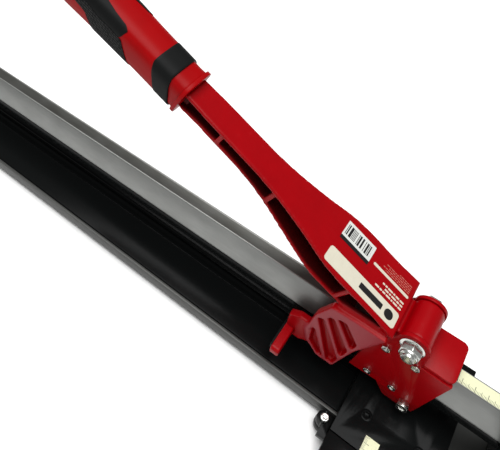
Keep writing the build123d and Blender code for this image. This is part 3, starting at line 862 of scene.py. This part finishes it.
class CUTTER_OT_carriage(Maker, bpy.types.Operator):
    """Build the carriage's cheeks, block, axles, sleeves and screws"""

    bl_idname = "cutter.carriage"
    bl_label = "Carriage"

    def execute(self, context):
        for node in ("cheek_near", "cheek_far"):
            rounded(node, self.sizes.casting_edge, "casting_enamel", 3)
        rounded("carriage_block", 1.2 * MM, "casting_enamel", 3)
        rounded("carriage_spacer", self.sizes.plate_edge, "zinc_plate")
        for node in ("bearing_axles", "bearing_sleeves", "set_screws", "tie_bolt", "pivot_washer",
                     "pivot_bolt"):
            rounded(node, 0.2 * MM, "zinc_plate")
        self.nut()
        return {"FINISHED"}

    def nut(self):
        """The lock nut: a flange, a hexagon with broken corners and a collar over the bolt's end."""
        face = -CHEEK_FACE / MM
        at = (PIVOT.x, 0, PIVOT.z)
        flange = turned([(face, 5.2), (face, 9.3), (face - 0.7, 9.5), (face - 1.9, 7.2), (face - 1.9, 5.2)],
                        "Y", at, closed=True)
        hexagon = bmesh.new()
        corner = 8.66 * MM      # 15 mm across the flats
        bmesh.ops.create_cone(hexagon, cap_ends=True, segments=6, radius1=corner, radius2=corner,
                              depth=5.6 * MM)
        bmesh.ops.rotate(hexagon, verts=hexagon.verts, cent=(0, 0, 0),
                         matrix=Matrix.Rotation(math.pi / 2, 3, "X"))
        bmesh.ops.translate(hexagon, verts=hexagon.verts, vec=(PIVOT.x, (face - 4.5) * MM, PIVOT.z))
        round_edges(hexagon, 0.6 * MM, 3)
        top = face - 7.2
        collar = turned([(top, 6.9), (top - 1.6, 6.5), (top - 2.0, 6.0), (top - 2.0, 5.1), (top - 1.2, 5.0),
                         (top + 0.5, 5.0), (top + 0.5, 6.9)], "Y", at, closed=True)
        thread = [(top + 1.0, 0.0), (top + 1.0, 4.5)]
        for i in range(4):
            thread += [(top - 0.7 * i, 4.85), (top - 0.7 * i - 0.35, 4.4)]
        thread += [(top - 2.9, 4.1), (top - 3.1, 3.7), (top - 3.1, 0.0)]
        tip = turned(thread, "Y", at)
        piece("lock_nut", joined([flange, hexagon, collar, tip]), "carriage", "zinc_plate",
              ["pivot_nut"])


class CUTTER_OT_bearings(Maker, bpy.types.Operator):
    """Build the four shielded ball bearings that run on the rail"""

    bl_idname = "cutter.bearings"
    bl_label = "Bearings"

    def execute(self, context):
        half = [(2.0, 2.6), (2.0, 3.6), (1.7, 3.75), (1.7, 5.2), (2.0, 5.35), (2.0, 6.2), (1.75, 6.48)]
        outline = [(-a, r) for a, r in half] + [(a, r) for a, r in reversed(half)]
        for node in ("bearing_top_rear", "bearing_top_front", "bearing_low_rear", "bearing_low_front"):
            shell = turned(outline, "Y", middle(node), closed=True)
            piece(node + "_turned", shell, node, "turned_steel", [node])
        return {"FINISHED"}


class CUTTER_OT_lever(Maker, bpy.types.Operator):
    """Build the cast lever with its ribbed pockets, wings and bush"""

    bl_idname = "cutter.lever"
    bl_label = "Lever"

    def execute(self, context):
        shell = welded("lever")
        bmesh.ops.transform(shell, matrix=TO_LEVEL, verts=shell.verts)
        bmesh.ops.triangulate(shell, faces=shell.faces)
        shell = skin(shell, self.sizes.casting_cell, 3)
        self.mark(shell)
        piece("lever_casting", at_rest(shell), "lever", "casting_enamel", ["lever"],
              math.radians(80))
        rounded("pivot_bush", 0.3 * MM, "bronze_bush")
        return {"FINISHED"}

    def mark(self, shell):
        """Mark the side pockets, coloured darker as painted shade, and the wings' outer faces, coloured
        paler as a painted sheen.
        """
        pocket = shell.verts.layers.float.new("pocket")
        pale = shell.verts.layers.float.new("pale")
        shell.normal_update()
        half_widths = [(20, 27.0), (57, 26.0), (95, 24.5), (114, 20.3), (133, 16.9), (152, 14.2),
                       (190, 12.4), (253, 11.0)]
        fade = 2.5
        for corner in shell.verts:
            u, v = -corner.co.x / MM, corner.co.z / MM
            inset = between(half_widths, u) - abs(corner.co.y) / MM
            underside = corner.normal.z < -0.5 and v < -12
            # Painted shade for the pockets, fading in from the lever's outline.
            if 30 < u < 254 and -24 < v < -3.2 and not underside:
                corner[pocket] = min(1.0, max(0.0, inset / fade))
            # Painted sheen on the wings' outer faces.
            if abs(corner.co.y) > WING_FACE and abs(corner.normal.y) > 0.8:
                corner[pale] = 1.0


class CUTTER_OT_breaker(Maker, bpy.types.Operator):
    """Build the breaker bar, its rubber strips, the wheel holder and the cutting wheel"""

    bl_idname = "cutter.breaker"
    bl_label = "Breaker and wheel"

    def execute(self, context):
        rounded("breaker_bar", self.sizes.plate_edge, "casting_enamel")
        rounded("breaker_strips", 0.5 * MM, "plain_rubber")
        rounded("wheel_holder", 0.4 * MM, "turned_steel")
        rounded("holder_screw", 0.2 * MM, "zinc_plate")
        rounded("wheel_pin", 0.2 * MM, "turned_steel")
        half = [(1.2, 3.1), (1.2, 5.4), (1.0, 5.6), (1.0, 8.0), (1.2, 8.2), (1.2, 8.8), (0.05, 10.95)]
        outline = [(-a, r) for a, r in half] + [(a, r) for a, r in reversed(half)]
        piece("scoring_wheel", turned(outline, "Y", middle("cutting_wheel"), closed=True), "cutting_wheel",
              "turned_steel", ["cutting_wheel"])
        return {"FINISHED"}


class CUTTER_OT_grip(Maker, bpy.types.Operator):
    """Build the grip: collar, red body, rubber band, scaly inlays and end cap"""

    bl_idname = "cutter.grip"
    bl_label = "Grip"

    def execute(self, context):
        rim = grip_sleeve(252.4, 256.0, lift=1.2, depth=17, rings=2)
        neck = grip_sleeve(255.5, 271, lift=-1.0, hang_end=-8, depth=5, rings=6)
        piece("grip_rim", at_rest(joined([rim, neck])), "lever", "moulded_red",
              ["grip_collar"])
        grip = grip_sleeve(286, 400, lift=0.0, hang_start=-14, depth=6, rings=40)
        piece("grip_body", at_rest(grip), "lever", "moulded_red", ["grip_core"])
        band = grip_sleeve(268.6, 288.2, lift=0.45, hang_start=-10, hang_end=-14, depth=3, rings=8)
        piece("rubber_band", at_rest(band), "lever", "inlay_rubber", ["grip_band"])
        low = [(303, -52), (306, -75), (331, -75), (341, -42), (347, -28), (355, -2), (384, 12)]
        high = [(303, -50), (306, -30), (318, 18), (330, 21), (342, 20), (357, 27), (370, 32), (384, 24)]
        crown_low = [(318, 44), (320, 20), (330, 22), (342, 21), (357, 28), (370, 33), (383, 35)]
        crown_high = [(318, 47), (322, 54), (335, 58), (346, 64), (365, 70), (383, 58)]
        for side in ("near", "far"):
            scales = at_rest(grip_patch(303, 384, low, high, lift=0.6))
            crown = at_rest(grip_patch(318, 383, crown_low, crown_high, lift=0.45))
            if side == "far":
                scales, crown = mirrored(scales), mirrored(crown)
            piece(f"scaly_inlay_{side}", scales, "lever", "scaly_rubber",
                  [f"grip_inlay_{side}"])
            piece(f"crown_inlay_{side}", crown, "lever", "inlay_rubber")
        cap = at_rest(grip_sleeve(399, 407, lift=0.2, depth=20, rings=3))
        piece("end_cap", cap, "lever", "plain_rubber", ["grip_end_cap"])
        return {"FINISHED"}


class CUTTER_OT_labels(Maker, bpy.types.Operator):
    """Lay the labels and their plain print on the lever's top"""

    bl_idname = "cutter.labels"
    bl_label = "Labels"

    def execute(self, context):
        top = 0.8
        thick, ink = 0.3, 0.06
        stripe = self.film(24, 96, -23.5, -9.5, top, thick, corner=2.4)
        slim = self.film(24, 61, 6.2, 8.6, top, 0.2, corner=1.0)
        piece("label_stripe", at_rest(joined([stripe, slim])), "lever", "cream_film",
              ["labels"])
        bars = self.film(65, 94.5, 1, 19, top, thick, corner=0.4)
        piece("label_bars", at_rest(bars), "lever", "bar_film")
        dot = self.film(28, 36, -20.5, -12.5, top + thick, ink, corner=3.6)
        dash = self.film(39, 62, -19.0, -14.0, top + thick, ink, corner=0.6)
        piece("stripe_print", at_rest(joined([dot, dash])), "lever", "dark_ink")
        rows = [(-6.3, 1.5, 52), (-3.4, 1.5, 44), (-0.5, 1.5, 47)]
        piece("bold_print", at_rest(joined(self.lines(rows, top, 3.2))), "lever", "cream_ink")
        rows = [(10.4, 0.6, 50), (12.1, 0.6, 53), (13.8, 0.6, 48), (15.5, 0.6, 51), (17.2, 0.6, 38)]
        piece("fine_print", at_rest(joined(self.lines(rows, top, 2.0))), "lever", "faint_ink")
        return {"FINISHED"}

    def film(self, u0, u1, y0, y1, low, thick, corner):
        """A thin film with rounded corners, in the level frame, in millimetres."""
        shell = slab((-u1 * MM, y0 * MM, low * MM), (-u0 * MM, y1 * MM, (low + thick) * MM))
        upright = [e for e in shell.edges if abs(e.verts[0].co.z - e.verts[1].co.z) > thick * MM / 2]
        bevel(shell, upright, corner * MM, 4)
        return shell

    def lines(self, rows, low, word):
        """Rows of short plain bars in place of words."""
        bars = []
        for index, (y, deep, end) in enumerate(rows):
            u = 25.0
            step = index
            while u < end:
                length = word * (1.0 + 0.5 * math.sin(step * 2.4 + index))
                bars.append(self.film(u, min(end, u + length), y, y + deep, low, 0.05, deep * 0.2))
                u += length + 0.7
                step += 1
        return bars


class CUTTER_OT_stage(Maker, bpy.types.Operator):
    """Lay the floor, hang the lights and place the camera"""

    bl_idname = "cutter.stage"
    bl_label = "Stage"

    def execute(self, context):
        scene = context.scene
        studio = scene.cutter_studio
        shell = bmesh.new()
        bmesh.ops.create_grid(shell, x_segments=1, y_segments=1, size=studio.floor_half)
        mesh = as_mesh(shell, "floor")
        mesh.materials.append(pale_floor())
        floor = bpy.data.objects.new("floor", mesh)
        scene.collection.objects.link(floor)
        self.surround(scene, studio.sky)
        self.light("key_light", studio.key_power, place=(0.35, -0.05, 2.7), aim=(0.3, 0, 0.05), size=2.4)
        self.light("fill_light", studio.fill_power, place=(0.6, -2.2, 0.9), aim=(0.55, 0, 0.08), size=1.4)
        view = bpy.data.cameras.new("camera")
        view.lens = studio.camera_lens
        view.sensor_width = 36
        view.shift_x = 0.064
        view.shift_y = -0.25
        view.clip_start = 0.01
        camera = bpy.data.objects.new("camera", view)
        camera.location = studio.camera_place
        camera.rotation_euler = studio.camera_turn
        scene.collection.objects.link(camera)
        scene.camera = camera
        scene.view_settings.view_transform = "Standard"
        return {"FINISHED"}

    def surround(self, scene, strength):
        world = bpy.data.worlds.new("surround")
        scene.world = world
        world.use_nodes = True
        background = world.node_tree.nodes["Background"]
        background.inputs["Color"].default_value = (1.0, 1.0, 1.0, 1.0)
        background.inputs["Strength"].default_value = strength

    def light(self, name, power, place, aim, size):
        lamp = bpy.data.lights.new(name, "AREA")
        lamp.shape = "DISK"
        lamp.size = size
        lamp.energy = power
        holder = bpy.data.objects.new(name, lamp)
        holder.location = place
        holder.rotation_euler = (Vector(aim) - Vector(place)).to_track_quat("-Z", "Y").to_euler()
        bpy.context.scene.collection.objects.link(holder)


STEPS = (CUTTER_OT_finishes, CUTTER_OT_bed, CUTTER_OT_rail, CUTTER_OT_front, CUTTER_OT_side_arm,
         CUTTER_OT_carriage, CUTTER_OT_bearings, CUTTER_OT_lever, CUTTER_OT_breaker, CUTTER_OT_grip,
         CUTTER_OT_labels, CUTTER_OT_stage)


class CUTTER_PT_steps(bpy.types.Panel):
    """The tile cutter's build steps and settings"""

    bl_idname = "CUTTER_PT_steps"
    bl_label = "Tile Cutter"
    bl_space_type = "VIEW_3D"
    bl_region_type = "UI"
    bl_category = "Tile Cutter"

    def draw(self, context):
        for group in (context.scene.cutter_sizes, context.scene.cutter_colours, context.scene.cutter_studio):
            box = self.layout.box()
            for key in group.__annotations__:
                box.prop(group, key)
        for step in STEPS:
            self.layout.operator(step.bl_idname)


CLASSES = (CutterColours, CutterSizes, CutterStudio, *STEPS, CUTTER_PT_steps)


def register():
    for each in CLASSES:
        bpy.utils.register_class(each)
    bpy.types.Scene.cutter_colours = PointerProperty(type=CutterColours)
    bpy.types.Scene.cutter_sizes = PointerProperty(type=CutterSizes)
    bpy.types.Scene.cutter_studio = PointerProperty(type=CutterStudio)


def unregister():
    del bpy.types.Scene.cutter_studio
    del bpy.types.Scene.cutter_sizes
    del bpy.types.Scene.cutter_colours
    for each in reversed(CLASSES):
        bpy.utils.unregister_class(each)


def main():
    """Build everything in order."""
    register()
    for step in STEPS:
        group, action = step.bl_idname.split(".")
        getattr(getattr(bpy.ops, group), action)()


if __name__ == "__main__":
    main()
